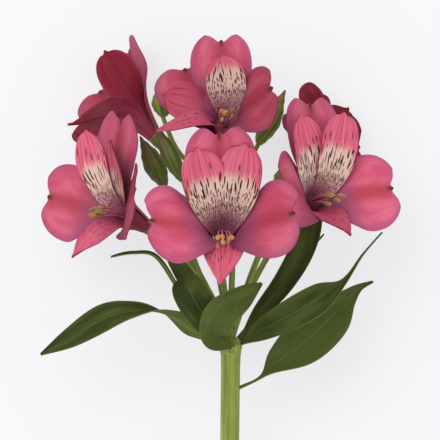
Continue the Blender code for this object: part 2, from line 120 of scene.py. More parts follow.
# Closed buds: base and tip, the widest radius, and the ray and place on it that the stalk leaves
Bud = namedtuple("Bud", "name base tip radius ray leaves_at")
BUDS = (
    Bud("bud_left_tall", (-19.6, 68.0, 64.0), (-31.0, 91.2, 66.5), 3.6, "left", 0.45),
    Bud("bud_left_low", (-27.0, 66.0, 52.0), (-37.0, 86.0, 56.0), 4.4, "left", 0.55),
    Bud("bud_top_left", (-27.6, 94.7, 39.0), (-29.0, 108.0, 40.0), 4.4, "top", 0.55),
    Bud("bud_top_right", (11.5, 83.5, 37.0), (22.5, 105.5, 39.0), 4.4, "top", 0.7),
    Bud("bud_right_small", (19.0, 66.5, 54.0), (22.0, 73.5, 60.0), 2.6, "right", 0.6),
)
BUD_OUTLINE = (
    (0.0, 0.30), (0.10, 0.56), (0.24, 0.84), (0.42, 1.0),
    (0.62, 0.80), (0.80, 0.42), (0.93, 0.14), (1.0, 0.02),
)

# Leaf midribs: x, y, z, half width, and the blade's turn about its midrib in degrees
LEAVES = {
    "leaf_left": (
        (-5.3, 0.5, 49, 1.3, 90), (-10, 4, 51, 4.5, 130), (-17, 8.5, 53, 6.0, 140),
        (-28, 14.2, 54, 4.4, 98), (-39.5, 14.8, 53, 4.6, 42), (-52, 11.5, 50, 6.0, 18),
        (-66, 3.5, 45, 4.2, 12), (-78.3, -3.4, 40, 0.5, 5)),
    "leaf_left_narrow": (
        (-4.8, 2.5, 46, 1.2, 90), (-14, 13, 50, 3.6, 88), (-22.5, 25, 54, 4.2, 88),
        (-31, 37, 56, 3.2, 84), (-40, 38.4, 55, 2.2, 75), (-49, 37.0, 52, 0.5, 60)),
    "leaf_front_left": (
        (-3.2, 2.0, 52.3, 1.3, 30), (-8.5, 9.5, 58, 5.6, 10), (-14, 18, 64, 7.2, 0),
        (-18, 25.5, 64, 6.4, 0), (-20, 29, 58.5, 0.6, 0)),
    "leaf_front": (
        (0.4, 0.5, 53.3, 1.3, 0), (-6.5, 4.5, 61, 5.5, 0), (-4, 14, 69, 7.0, 5),
        (5, 21.5, 73, 5.0, 15), (12.5, 26.5, 75, 0.6, 20)),
    "leaf_right": (
        (5.0, 1.5, 50, 1.3, -60), (12.5, 6.8, 53, 4.4, -10), (24.5, 13.6, 57, 6.4, 0),
        (36, 20.4, 59, 6.0, 0), (46, 26.8, 57, 1.6, -30), (54, 38.0, 53, 0.6, -60), (62, 47, 47, 0.4, -60)),
    "leaf_right_low": (
        (4.9, -16.6, 41.6, 1.1, -60), (12.5, -12.8, 42, 1.6, -70), (20, -6, 42, 6.0, -25),
        (30, 1.5, 42, 9.6, -5), (41, 11.5, 40, 9.0, 0), (48, 19.5, 38, 4.2, 0),
        (53, 24, 36, 1.6, 0), (59, 26.5, 33, 0.4, 0)),
    "leaf_right_tall": (
        (4.6, 3.4, 44.2, 1.2, 0), (12.0, 14, 43, 3.2, 0), (21.5, 26, 41, 4.6, 5),
        (28.5, 38, 37, 5.4, 10), (32.5, 50, 33, 5.2, 10), (34.5, 62, 29, 3.0, 10), (35, 69, 26, 0.5, 10)),
    "leaf_right_narrow": (
        (1.5, 2.0, 42.6, 1.2, 60), (15.5, 18, 36, 3.4, 80), (27.5, 33, 30, 3.4, 85),
        (33.5, 41, 26, 2.4, 80), (39, 46, 22, 0.4, 70)),
    "leaf_back_left": (
        (-3.2, 1.5, 43.6, 1.3, 20), (-10, 16, 35, 4.5, 10), (-18, 30, 26, 5.4, 0),
        (-24, 38, 18, 3.4, 0), (-27, 44, 12, 0.5, 0)),
}

# Painted shade: how far each petal's tint is darkened towards deep crimson where the petal lies in shadow, 0
# for the plain rose
PAINTED_SHADE = {
    "front_outer_right": 0.35, "front_inner_left": 0.10, "front_inner_right": 0.20, "front_outer_top": 0.20,
    "left_outer_left": 0.18, "left_outer_right": 0.80, "left_outer_top": 0.25, "left_inner_right": 0.60,
    "right_outer_left": 0.35, "right_inner_low": 0.35, "right_outer_top": 0.20,
    "top_outer_top": 0.18, "top_outer_left": 0.52, "top_inner_left": 0.45, "top_outer_right": 0.72,
    "top_inner_right": 0.20, "top_inner_low": 0.45,
    "back_left": 0.60, "back_right": 0.85,
}

# How far towards the tip the markings of an inner petal are moved
MARKS = {"top_inner_left": -0.30, "top_inner_right": 0.17}

# Colours of the living flower, linear
ROSE = (0.64, 0.088, 0.170, 1)
ROSE_LIGHT = (0.74, 0.160, 0.260, 1)
CRIMSON = (0.46, 0.042, 0.068, 1)
VEIN = (0.40, 0.035, 0.075, 1)
MAUVE_PINK = (0.45, 0.095, 0.22, 1)
# painted shade deep in the throat of each bloom, laid on the base of every petal
THROAT_SHADE_MAUVE = (0.33, 0.072, 0.160, 1)
DEEP_CRIMSON = (0.24, 0.014, 0.032, 1)
BACK_CRIMSON = (0.40, 0.035, 0.075, 1)
TUBE_MAUVE = (0.50, 0.110, 0.200, 1)
BRONZE = (0.11, 0.070, 0.030, 1)
CREAM = (0.78, 0.56, 0.46, 1)
BLUSH = (0.70, 0.27, 0.28, 1)
MAROON = (0.040, 0.004, 0.012, 1)
# SHADE is multiplied into a petal's tint as painted shade
SHADE = (0.45, 0.26, 0.28, 1)
TIP_GREEN = (0.05, 0.035, 0.012, 1)
LEAF_DARK = (0.040, 0.055, 0.015, 1)
LEAF_MID = (0.082, 0.108, 0.028, 1)
LEAF_LIGHT = (0.15, 0.20, 0.045, 1)
LEAF_LINE = (0.15, 0.20, 0.06, 1)
STALK_GREEN = (0.23, 0.29, 0.045, 1)
STALK_LIGHT = (0.35, 0.40, 0.090, 1)
STALK_DARK = (0.12, 0.16, 0.020, 1)
PITH = (0.55, 0.58, 0.30, 1)
BUD_LIME = (0.27, 0.34, 0.03, 1)
BUD_GREEN = (0.06, 0.095, 0.015, 1)
BUD_DARK = (0.035, 0.040, 0.012, 1)
FILAMENT_PINK = (0.55, 0.22, 0.26, 1)
ANTHER_OLIVE = (0.24, 0.18, 0.065, 1)
ANTHER_ORANGE = (0.60, 0.24, 0.05, 1)
SURFACE_WHITE = (0.30, 0.30, 0.305, 1)
SURFACE_GLOW = (0.625, 0.625, 0.640, 1)


def ease(value, low, high):
    """0 below low, 1 above high, smooth between."""
    share = min(max((value - low) / (high - low), 0.0), 1.0)
    return share * share * (3 - 2 * share)


def deselect():
    bpy.ops.object.select_all(action="DESELECT")


def choose(piece):
    """Makes the piece the only one selected, and the active one."""
    deselect()
    piece.select_set(True)
    bpy.context.view_layer.objects.active = piece


class Finish:
    """A material built up from nodes, with short ways to add them and to join them."""

    def __init__(self, name, roughness, specular=0.4):
        self.material = bpy.data.materials.new(name)
        self.material.use_nodes = True
        self.tree = self.material.node_tree
        self.shader = self.tree.nodes["Principled BSDF"]
        self.set("Roughness", roughness)
        self.set("Specular IOR Level", specular)

    def set(self, socket, value):
        self.shader.inputs[socket].default_value = value

    def add(self, kind, **settings):
        node = self.tree.nodes.new(kind)
        for name, value in settings.items():
            setattr(node, name, value)
        return node

    def feed(self, socket, value):
        """Joins another node's output to the socket, or sets a plain value."""
        if isinstance(value, bpy.types.NodeSocket):
            self.tree.links.new(value, socket)
        else:
            socket.default_value = value

    def math(self, operation, *values):
        node = self.add("ShaderNodeMath", operation=operation)
        for socket, value in zip(node.inputs, values):
            self.feed(socket, value)
        return node.outputs[0]

    def times(self, first, *others):
        for other in others:
            first = self.math("MULTIPLY", first, other)
        return first

    def rise(self, value, low, high):
        """0 below low and 1 above high, smooth between."""
        node = self.add("ShaderNodeMapRange", interpolation_type="SMOOTHSTEP")
        self.feed(node.inputs["Value"], value)
        self.feed(node.inputs["From Min"], low)
        self.feed(node.inputs["From Max"], high)
        return node.outputs["Result"]

    def fall(self, value, low, high):
        """1 below low and 0 above high, smooth between."""
        return self.math("SUBTRACT", 1.0, self.rise(value, low, high))

    def mix(self, share, under, over):
        node = self.add("ShaderNodeMix", data_type="RGBA")
        self.feed(node.inputs[0], share)
        self.feed(node.inputs[6], under)
        self.feed(node.inputs[7], over)
        return node.outputs[2]

    def own(self, name):
        """A number that the piece carries at its points."""
        return self.add("ShaderNodeAttribute", attribute_name=name).outputs["Fac"]

    def sheet(self):
        """Along the piece from 0 to 1, and across it from -1 to 1."""
        place = self.add("ShaderNodeUVMap", uv_map="UVMap")
        parts = self.add("ShaderNodeSeparateXYZ")
        self.feed(parts.inputs[0], place.outputs[0])
        return parts.outputs["Y"], self.math("MULTIPLY_ADD", parts.outputs["X"], 2.0, -1.0)

    def place(self, along, across, fine_along, fine_across, depth):
        node = self.add("ShaderNodeCombineXYZ")
        self.feed(node.inputs[0], self.math("MULTIPLY", across, fine_across))
        self.feed(node.inputs[1], self.math("MULTIPLY", along, fine_along))
        self.feed(node.inputs[2], depth)
        return node.outputs[0]

    def grain(self, place, detail=2.0, scale=1.0):
        node = self.add("ShaderNodeTexNoise")
        self.feed(node.inputs["Vector"], place)
        self.feed(node.inputs["Scale"], scale)
        self.feed(node.inputs["Detail"], detail)
        return node.outputs["Fac"]

    def dashes(self, along, across, size, own, slim, zone, loose=0.8, share=1.0):
        """Scattered dashes, size being how many fit along and across half the piece. slim is how much
        narrower than its share of the width each one is, zone says where along the piece their
        middles may lie, and share how many of them are drawn."""
        place = self.place(along, across, size[0], size[1], own)
        node = self.add("ShaderNodeTexVoronoi", feature="F1")
        self.feed(node.inputs["Vector"], place)
        self.feed(node.inputs["Scale"], 1.0)
        self.feed(node.inputs["Randomness"], loose)
        apart = self.add("ShaderNodeVectorMath", operation="SUBTRACT")
        self.feed(apart.inputs[0], place)
        self.feed(apart.inputs[1], node.outputs["Position"])
        narrowed = self.add("ShaderNodeVectorMath", operation="MULTIPLY")
        self.feed(narrowed.inputs[0], apart.outputs[0])
        self.feed(narrowed.inputs[1], (slim, 1.0, 0.3))
        length = self.add("ShaderNodeVectorMath", operation="LENGTH")
        self.feed(length.inputs[0], narrowed.outputs[0])
        middle = self.add("ShaderNodeSeparateXYZ")
        self.feed(middle.inputs[0], node.outputs["Position"])
        centre = self.math("DIVIDE", middle.outputs["Y"], size[0])
        chance = self.add("ShaderNodeSeparateXYZ")
        self.feed(chance.inputs[0], node.outputs["Color"])
        drawn = self.math("LESS_THAN", chance.outputs["X"], share)
        low, high = zone
        inside = self.times(self.rise(centre, low, low + 0.02), self.fall(centre, high - 0.02, high), drawn)
        return self.times(self.fall(length.outputs["Value"], 0.30, 0.42), inside)

    def colour(self, value):
        self.feed(self.shader.inputs["Base Color"], value)

    def relief(self, height, depth):
        node = self.add("ShaderNodeBump")
        self.feed(node.inputs["Height"], height)
        self.feed(node.inputs["Distance"], depth)
        self.feed(self.shader.inputs["Normal"], node.outputs[0])

    def soft(self, weight, colour):
        """Light that spreads inside a thin petal."""
        self.set("Subsurface Weight", weight)
        self.set("Subsurface Radius", colour)
        self.set("Subsurface Scale", 0.8 * MM)


def petal_base(name, roughness, specular):
    """A petal finish, with what every petal's tint is made from."""
    paint = Finish(name, roughness, specular)
    along, across = paint.sheet()
    aside = paint.math("ABSOLUTE", across)
    own = paint.own("own")
    veins = paint.grain(paint.place(along, across, 1.6, 26.0, own), 3.0)
    clouds = paint.grain(paint.place(along, across, 3.0, 2.4, own), 2.0)
    return paint, along, across, aside, own, veins, clouds


def finish_petal(paint, tint, veins, soft):
    """Darkens the tint by the painted shade that the petal carries, and gives the surface its fine veins."""
    shade = paint.add("ShaderNodeMix", data_type="RGBA", blend_type="MULTIPLY")
    paint.feed(shade.inputs[0], paint.own("deep"))
    paint.feed(shade.inputs[6], tint)
    paint.feed(shade.inputs[7], SHADE)
    paint.colour(shade.outputs[2])
    paint.relief(veins, 0.12 * MM)
    paint.soft(0.18, soft)
    return paint.material


def outer_face():
    paint, along, across, aside, own, veins, clouds = petal_base("petal_outer_face", 0.55, 0.22)
    tint = paint.mix(paint.rise(clouds, 0.35, 0.68), ROSE, ROSE_LIGHT)
    tint = paint.mix(paint.times(paint.rise(aside, 0.70, 1.0), 0.75), tint, MAUVE_PINK)
    tint = paint.mix(paint.times(paint.rise(along, 0.88, 1.0), 0.5), tint, MAUVE_PINK)
    rib = paint.times(paint.fall(aside, 0.02, 0.42), paint.rise(along, 0.30, 0.62), 0.8)
    tint = paint.mix(rib, tint, CRIMSON)
    tint = paint.mix(paint.times(paint.rise(veins, 0.50, 0.74), 0.35), tint, VEIN)
    # painted shade in the throat: the petal darkened to mauve towards its base
    tint = paint.mix(paint.times(paint.fall(along, 0.40, 0.72), 0.9), tint, THROAT_SHADE_MAUVE)
    point = paint.times(paint.fall(aside, 0.03, 0.13), paint.rise(along, 0.93, 0.985))
    tint = paint.mix(point, tint, TIP_GREEN)
    return finish_petal(paint, tint, veins, (1.0, 0.25, 0.35))


def outer_back():
    paint, along, across, aside, own, veins, clouds = petal_base("petal_outer_back", 0.6, 0.10)
    tint = paint.mix(paint.times(paint.rise(clouds, 0.40, 0.72), 0.7), BACK_CRIMSON, ROSE)
    tint = paint.mix(paint.times(paint.rise(aside, 0.78, 1.0), 0.35), tint, MAUVE_PINK)
    tint = paint.mix(paint.times(paint.fall(along, 0.20, 0.46), 0.8), tint, TUBE_MAUVE)
    tint = paint.mix(paint.times(paint.rise(veins, 0.44, 0.66), 0.7), tint, DEEP_CRIMSON)
    tint = paint.mix(paint.times(paint.fall(aside, 0.02, 0.12), 0.4), tint, BRONZE)
    return finish_petal(paint, tint, veins, (1.0, 0.25, 0.35))


def inner_face():
    """The upper inner petals: cream below a rose tip, with bold maroon strokes and finer dots."""
    paint, along, across, aside, own, veins, clouds = petal_base("petal_inner_face", 0.52, 0.22)
    tint = paint.mix(paint.rise(veins, 0.38, 0.66), ROSE_LIGHT, ROSE)
    tint = paint.mix(paint.times(paint.rise(veins, 0.50, 0.66), 0.6), tint, CRIMSON)
    along = paint.math("SUBTRACT", along, paint.own("marks"))
    edge = paint.times(paint.rise(aside, 0.55, 1.0), 0.10)
    ragged = paint.math("ADD", along, paint.math("MULTIPLY_ADD", veins, 0.20, edge))
    tint = paint.mix(paint.fall(ragged, 0.80, 0.90), tint, BLUSH)
    tint = paint.mix(paint.fall(ragged, 0.76, 0.86), tint, CREAM)
    # painted shade in the throat: the petal darkened to mauve towards its base
    tint = paint.mix(paint.times(paint.fall(along, 0.26, 0.57), 0.85), tint, THROAT_SHADE_MAUVE)
    sway = paint.grain(paint.place(along, across, 5.0, 3.0, own))
    bent = paint.math("ADD", across, paint.times(sway, 0.22))
    for size, slim, zone, share, strength in (
        ((25.0, 10.0), 1.2, (0.20, 0.50), 0.9, 0.75), ((14.0, 8.0), 1.6, (0.40, 0.62), 0.85, 0.9),
        ((6.8, 4.8), 2.0, (0.53, 0.73), 1.0, 1.0), ((9.0, 4.0), 2.4, (0.72, 0.86), 0.3, 0.8),
    ):
        marks = paint.dashes(along, bent, size, own, slim, zone, 0.8, share)
        tint = paint.mix(paint.times(marks, strength), tint, MAROON)
    return finish_petal(paint, tint, veins, (1.0, 0.4, 0.4))


def low_face():
    """The lowest inner petal, and the ones with few strokes."""
    paint, along, across, aside, own, veins, clouds = petal_base("petal_low_face", 0.55, 0.22)
    tint = paint.mix(paint.rise(veins, 0.35, 0.66), ROSE_LIGHT, ROSE)
    tint = paint.mix(paint.times(paint.rise(veins, 0.50, 0.68), 0.55), tint, CRIMSON)
    tint = paint.mix(paint.times(paint.rise(aside, 0.75, 1.0), 0.5), tint, MAUVE_PINK)
    # painted shade in the throat: the petal darkened to mauve towards its base
    tint = paint.mix(paint.times(paint.fall(along, 0.15, 0.50), 0.8), tint, THROAT_SHADE_MAUVE)
    few = paint.dashes(along, across, (13.0, 6.0), own, 2.0, (0.45, 0.80), 0.9, 0.35)
    tint = paint.mix(paint.times(few, 0.7), tint, MAROON)
    return finish_petal(paint, tint, veins, (1.0, 0.3, 0.35))


def inner_back():
    paint, along, across, aside, own, veins, clouds = petal_base("petal_inner_back", 0.6, 0.10)
    tint = paint.mix(paint.rise(veins, 0.40, 0.70), BACK_CRIMSON, DEEP_CRIMSON)
    tint = paint.mix(paint.times(paint.rise(aside, 0.75, 1.0), 0.3), tint, MAUVE_PINK)
    tint = paint.mix(paint.times(paint.fall(along, 0.20, 0.50), 0.7), tint, TUBE_MAUVE)
    tint = paint.mix(paint.times(paint.fall(aside, 0.02, 0.10), 0.35), tint, BRONZE)
    return finish_petal(paint, tint, veins, (1.0, 0.3, 0.35))


def leaf_finish(name, dark, light, gloss):
    paint = Finish(name, gloss, 0.04)
    along, across = paint.sheet()
    aside = paint.math("ABSOLUTE", across)
    own = paint.own("own")
    pale = paint.own("pale")
    lines = paint.grain(paint.place(along, across, 1.2, 30.0, own), 2.0)
    clouds = paint.grain(paint.place(along, across, 4.0, 1.2, own), 3.0)
    tint = paint.mix(paint.rise(clouds, 0.38, 0.66), dark, light)
    tint = paint.mix(paint.times(paint.rise(lines, 0.50, 0.70), 0.4), tint, light)
    # painted light: the whole blade paled towards light green as far as the leaf's pale number says
    tint = paint.mix(pale, tint, LEAF_LIGHT)
    tint = paint.mix(paint.times(paint.fall(aside, 0.01, 0.05), 0.45), tint, LEAF_LINE)
    tint = paint.mix(paint.times(paint.rise(aside, 0.93, 1.0), 0.4), tint, LEAF_LINE)
    tint = paint.mix(paint.times(paint.fall(along, 0.05, 0.34), 0.75), tint, LEAF_LIGHT)
    paint.colour(tint)
    paint.relief(lines, 0.25 * MM)
    return paint.material


def stalk_finish():
    paint = Finish("stalk_skin", 0.48, 0.3)
    along, across = paint.sheet()
    own = paint.own("own")
    lines = paint.grain(paint.place(along, across, 2.0, 9.0, own), 2.0)
    clouds = paint.grain(paint.place(along, across, 9.0, 1.5, own), 3.0)
    tint = paint.mix(paint.rise(clouds, 0.3, 0.75), STALK_GREEN, STALK_LIGHT)
    tint = paint.mix(paint.times(paint.rise(lines, 0.46, 0.64), 0.65), tint, STALK_DARK)
    tint = paint.mix(paint.times(paint.own("pale"), 0.8), tint, BUD_GREEN)
    paint.colour(tint)
    paint.relief(lines, 0.2 * MM)
    paint.soft(0.08, (0.6, 1.0, 0.3))
    return paint.material


def pith_finish():
    paint = Finish("stalk_pith", 0.7, 0.3)
    place = paint.add("ShaderNodeTexCoord").outputs["Object"]
    pores = paint.grain(place, 2.0, 2600.0)
    paint.colour(paint.mix(pores, STALK_LIGHT, PITH))
    paint.relief(pores, 0.1 * MM)
    return paint.material


def bud_finish():
    paint = Finish("bud_skin", 0.48, 0.3)
    along, across = paint.sheet()
    aside = paint.math("ABSOLUTE", across)
    own = paint.own("own")
    lines = paint.grain(paint.place(along, across, 1.5, 12.0, own), 2.0)
    tint = paint.mix(paint.rise(lines, 0.35, 0.65), BUD_LIME, BUD_GREEN)
    flush = paint.times(paint.rise(aside, 0.40, 0.95), paint.rise(along, 0.3, 0.7), 0.65)
    tint = paint.mix(flush, tint, MAUVE_PINK)
    tint = paint.mix(paint.times(paint.rise(along, 0.72, 1.0), 0.6), tint, DEEP_CRIMSON)
    tint = paint.mix(paint.times(paint.fall(aside, 0.04, 0.2), 0.6), tint, BUD_GREEN)
    tint = paint.mix(paint.own("deep"), tint, BUD_DARK)
    paint.colour(tint)
    paint.relief(lines, 0.2 * MM)
    return paint.material


def filament_finish():
    paint = Finish("filament_skin", 0.45, 0.4)
    along, across = paint.sheet()
    tint = paint.mix(paint.rise(along, 0.2, 0.8), MAUVE_PINK, FILAMENT_PINK)
    specks = paint.dashes(along, across, (22.0, 2.0), 0.0, 1.0, (0.0, 1.0), 1.0)
    tint = paint.mix(paint.times(specks, 0.6), tint, VEIN)
    paint.colour(tint)
    return paint.material


def anther_finish():
    paint = Finish("anther_pollen", 0.8, 0.2)
    place = paint.add("ShaderNodeTexCoord").outputs["Object"]
    grains = paint.grain(place, 3.0, 2400.0)
    patches = paint.grain(place, 1.0, 260.0)
    tint = paint.mix(paint.rise(patches, 0.42, 0.58), ANTHER_OLIVE, ANTHER_ORANGE)
    tint = paint.mix(paint.times(paint.rise(grains, 0.4, 0.7), 0.4), tint, CREAM)
    paint.colour(tint)
    paint.relief(grains, 0.25 * MM)
    return paint.material


def surface_finish():
    """A white board lit from below as well, so that shadows on it stay faint."""
    paint = Finish("pale_surface", 0.9, 0.1)
    paint.set("Base Color", SURFACE_WHITE)
    paint.set("Emission Color", SURFACE_GLOW)
    paint.set("Emission Strength", 1.0)
    return paint.material


def carry(piece, name, values):
    """Keeps one number at every point of the piece."""
    held = piece.data.attributes.new(name, "FLOAT", "POINT")
    held.data.foreach_set("value", values)


def laid_grid(name, rows, columns, place, spread=lambda v: v):
    """A grid whose points go to place(t, s), t from 0 to 1 along it and s from -1 to 1 across it.
    spread says where each row lies along it. The UV map keeps t and s."""
    deselect()
    bpy.ops.mesh.primitive_grid_add(x_subdivisions=columns, y_subdivisions=rows, size=2)
    piece = bpy.context.object
    piece.name = name
    piece.data.name = name
    where = [(spread((v.co.y + 1) / 2), v.co.x) for v in piece.data.vertices]
    for vertex, (t, s) in zip(piece.data.vertices, where):
        vertex.co = place(t, s)
    drawn = piece.data.uv_layers["UVMap"].data
    for loop in piece.data.loops:
        t, s = where[loop.vertex_index]
        drawn[loop.index].uv = ((s + 1) / 2, t)
    return piece


def apply_modifier(piece, kind, **settings):
    choose(piece)
    bpy.ops.object.modifier_add(type=kind)
    modifier = piece.modifiers[-1]
    for name, value in settings.items():
        setattr(modifier, name, value)
    bpy.ops.object.modifier_apply(modifier=modifier.name)


def thicken(piece, thickness, materials):
    """Gives a sheet its thickness, with its own finish on the face and on the back."""
    for material in materials:
        piece.data.materials.append(material)
    apply_modifier(piece, "SOLIDIFY", thickness=thickness, offset=0.0, material_offset=1, material_offset_rim=1)


def smooth(piece, angle=50):
    choose(piece)
    bpy.ops.object.shade_smooth_by_angle(angle=math.radians(angle))


def settle(piece, node):
    """Puts the place of the piece into its mesh, hides the solid it stands for, and hangs the piece on the root
    body.
    """
    piece.data.transform(Matrix.Translation(-FOOTPRINT_CENTRE) @ piece.matrix_world)
    piece.matrix_world = Matrix.Identity(4)
    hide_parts(node)
    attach(piece, "root")


def arched(middle, across, normal, half_width, cup, s):
    """A point of a cross-section that is an arc: cup is the arc's half angle in radians."""
    if abs(cup) < 0.01:
        return middle + across * (s * half_width)
    sideways = math.sin(cup * s) / cup
    rise = (1 - math.cos(cup * s)) / cup
    return middle + (across * sideways + normal * rise) * half_width


def petal_half_width(form, t):
    """Narrow at the claw, widest at form.widest, round or pointed at the tip."""
    if t < form.widest:
        return CLAW_HALF_WIDTH + (form.half_width - CLAW_HALF_WIDTH) * ease(t, 0.04, form.widest)
    end = (t - form.widest) / ((1.03 if form.notch else 1.005) - form.widest)
    return form.half_width * (1 - end**form.roundness) ** (1 / form.roundness)


def petal_spine(form, lie):
    """The petal's middle line in its bloom's frame, +Z out of the mouth and +Y the upper side:
    at each step the point, and the directions along the petal, across it and out of its face."""
    blade, lean_out, twist, length = lie
    steps = []
    middle = Vector((0, 0, 0.4 * MM))
    before = None
    for i in range(SPINE_STEPS + 1):
        t = i / SPINE_STEPS
        azimuth = math.radians(form.root + (blade - form.root) * ease(t, 0.05, 0.55))
        bend = ease(t, form.bend_from, form.bend_to)
        lean = math.radians(form.lean_in + (lean_out - form.lean_in) * bend)
        outwards = Vector((math.cos(azimuth), math.sin(azimuth), 0))
        upwards = Vector((0, 0, 1))
        along = outwards * math.sin(lean) + upwards * math.cos(lean)
        if before is None:
            middle = middle + outwards * form.seat
        else:
            middle = middle + (along + before) * (0.5 * length * MM / SPINE_STEPS)
        before = along
        normal = upwards * math.sin(lean) - outwards * math.cos(lean)
        across = along.cross(normal)
        turn = math.radians(twist) * ease(t, 0.3, 0.8)
        turned = across * math.cos(turn) + normal * math.sin(turn)
        normal = normal * math.cos(turn) - across * math.sin(turn)
        steps.append((middle, along, turned, normal))
    return steps


def petal_relief(form, t, s, own):
    """How far the blade stands out of its plain form: a groove on the midrib, ripples at the edge."""
    out = ease(t, 0.35, 0.75)
    groove = -0.35 * math.exp(-((s / 0.10) ** 2)) * ease(t, 0.25, 0.5)
    ripple = 0.55 * abs(s) ** 3 * out * math.sin(11 * t + 4 * s + own)
    swell = 0.5 * out * noise.noise(Vector((2.2 * s, 4.0 * t, own)))
    return (groove + ripple + swell) * MM


def petal_point(form, spine, own, t, s):
    """A point of the petal: t from 0 at the root to 1 at the tip, s from -1 to 1 across."""
    place = t * SPINE_STEPS
    i = min(int(place), SPINE_STEPS - 1)
    middle, along, across, normal = (
        low.lerp(high, place - i) for low, high in zip(spine[i], spine[i + 1])
    )
    half_width = petal_half_width(form, t)
    bow = form.fold + (form.curve - form.fold) * ease(t, 0.15, 0.6)
    point = arched(middle, across, normal, half_width, bow, s)
    aside = half_width * math.sin(bow * s) / bow
    cut = form.notch * math.exp(-((aside / NOTCH_WIDTH) ** 2)) * ease(t, 0.5, 1.0)
    tooth = 1.5 * MM * math.exp(-((aside / (0.9 * MM)) ** 2)) * ease(t, 0.9, 1.0)
    return point - along * (cut - tooth) + normal * petal_relief(form, t, s, own)


def towards_tip(v):
    """Rows lie closer together at a rounded tip."""
    return math.sin(v * math.pi / 2) ** 0.9


def bloom_frame(bloom):
    """The matrix of a bloom: its axis along +Z, its upper side towards the head of the stem."""
    axis = Vector(bloom.axis).normalized()
    upper = (Vector((0, 1, 0)) - axis * axis.y).normalized()
    side = upper.cross(axis)
    turn = Matrix((side, upper, axis)).transposed().to_4x4()
    roll = Matrix.Rotation(math.radians(bloom.roll), 4, "Z")
    size = Matrix.Scale(bloom.size, 4)
    return Matrix.Translation(Vector(bloom.base) * MM) @ turn @ roll @ size


def rod_frames(points):
    """At each point of a line a pair of directions across it, carried on without a twist."""
    frames = []
    side = None
    for i, here in enumerate(points):
        along = (points[min(i + 1, len(points) - 1)] - points[max(i - 1, 0)]).normalized()
        if side is None:
            side = along.orthogonal()
        side = (side - along * side.dot(along)).normalized()
        frames.append((here, side, along.cross(side)))
    return frames


def drawn_rod(name, points, radii, sides, ribs=0, depth=0.0):
    """A round rod along a line, its radius given at each point, with ribs down it, closed at both ends."""
    frames = rod_frames(points)
    last = len(points) - 1

    def place(t, s):
        i = min(int(t * last), last - 1)
        share = t * last - i
        here, side, other = (low.lerp(high, share) for low, high in zip(frames[i], frames[i + 1]))
        turn = s * math.pi
        radius = radii[i] * (1 - share) + radii[i + 1] * share
        radius = radius * (1 + depth * math.cos(ribs * turn))
        return here + (side * math.cos(turn) + other * math.sin(turn)) * radius

    piece = laid_grid(name, last, sides, place)
    choose(piece)
    bpy.ops.object.mode_set(mode="EDIT")
    bpy.ops.mesh.select_all(action="SELECT")
    bpy.ops.mesh.remove_doubles(threshold=0.002 * MM)
    bpy.ops.mesh.fill_holes(sides=0)
    bpy.ops.mesh.normals_make_consistent(inside=False)
    bpy.ops.object.mode_set(mode="OBJECT")
    return piece


def bezier(start, leave, arrive, end, count):
    """count + 1 points of a cubic curve."""
    points = []
    for i in range(count + 1):
        t = i / count
        points.append(
            start * (1 - t) ** 3 + leave * 3 * t * (1 - t) ** 2 + arrive * 3 * t * t * (1 - t) + end * t**3
        )
    return points


def refined(points, times):
    """The line with that many points for each span, on a smooth curve through all its points."""
    spans = len(points) - 1
    return [Vector(through([tuple(p) for p in points], i / (spans * times))) for i in range(spans * times + 1)]


def through(stations, t):
    """The values at t from 0 to 1 on a smooth curve through all stations."""
    spans = len(stations) - 1
    place = min(t * spans, spans - 1e-6)
    i, u = int(place), place - int(place)
    before, here = stations[max(i - 1, 0)], stations[i]
    after, beyond = stations[i + 1], stations[min(i + 2, spans)]
    return [
        0.5 * (2 * b + (c - a) * u + (2 * a - 5 * b + 4 * c - d) * u * u + (3 * b - a - 3 * c + d) * u**3)
        for a, b, c, d in zip(before, here, after, beyond)
    ]


def joined(name, pieces):
    deselect()
    for piece in pieces:
        piece.select_set(True)
    bpy.context.view_layer.objects.active = pieces[0]
    bpy.ops.object.join()
    whole = bpy.context.object
    whole.name = name
    whole.data.name = name
    return whole


FACES = {"outer": outer_face(), "inner": inner_face(), "low": low_face()}
BACKS = {"outer": outer_back(), "inner": inner_back(), "low": inner_back()}
LEAF_UPPER = leaf_finish("leaf_upper", LEAF_DARK, LEAF_MID, 0.5)
LEAF_UNDER = leaf_finish("leaf_under", LEAF_MID, LEAF_LIGHT, 0.75)
STALK_SKIN = stalk_finish()
STALK_PITH = pith_finish()
BUD_SKIN = bud_finish()
FILAMENT_SKIN = filament_finish()
ANTHER_POLLEN = anther_finish()


def make_petals(name, bloom, number):
    for order, (petal, form) in enumerate(PETALS.items()):
        kind = petal.split("_")[0] if petal != "inner_low" else "low"
        own = 1.7 * order + 11.3 * number
        spine = petal_spine(form, bloom.petals[petal])
        piece = laid_grid(
            name + "_" + petal, PETAL_ROWS, PETAL_COLUMNS,
            lambda t, s: petal_point(form, spine, own, t, s), towards_tip,
        )
        # painted shade: how far this petal is darkened where it lies in shadow
        deep = PAINTED_SHADE.get(name + "_" + petal, PAINTED_SHADE.get(name, 0.0))
        carry(piece, "own", [own] * len(piece.data.vertices))
        carry(piece, "deep", [deep] * len(piece.data.vertices))
        carry(piece, "marks", [MARKS.get(name + "_" + petal, 0.0)] * len(piece.data.vertices))
        thicken(piece, PETAL_THICKNESS, (FACES[kind], BACKS[kind]))
        smooth(piece)
        piece.matrix_world = bloom_frame(bloom)
        settle(piece, "tepals_" + name)


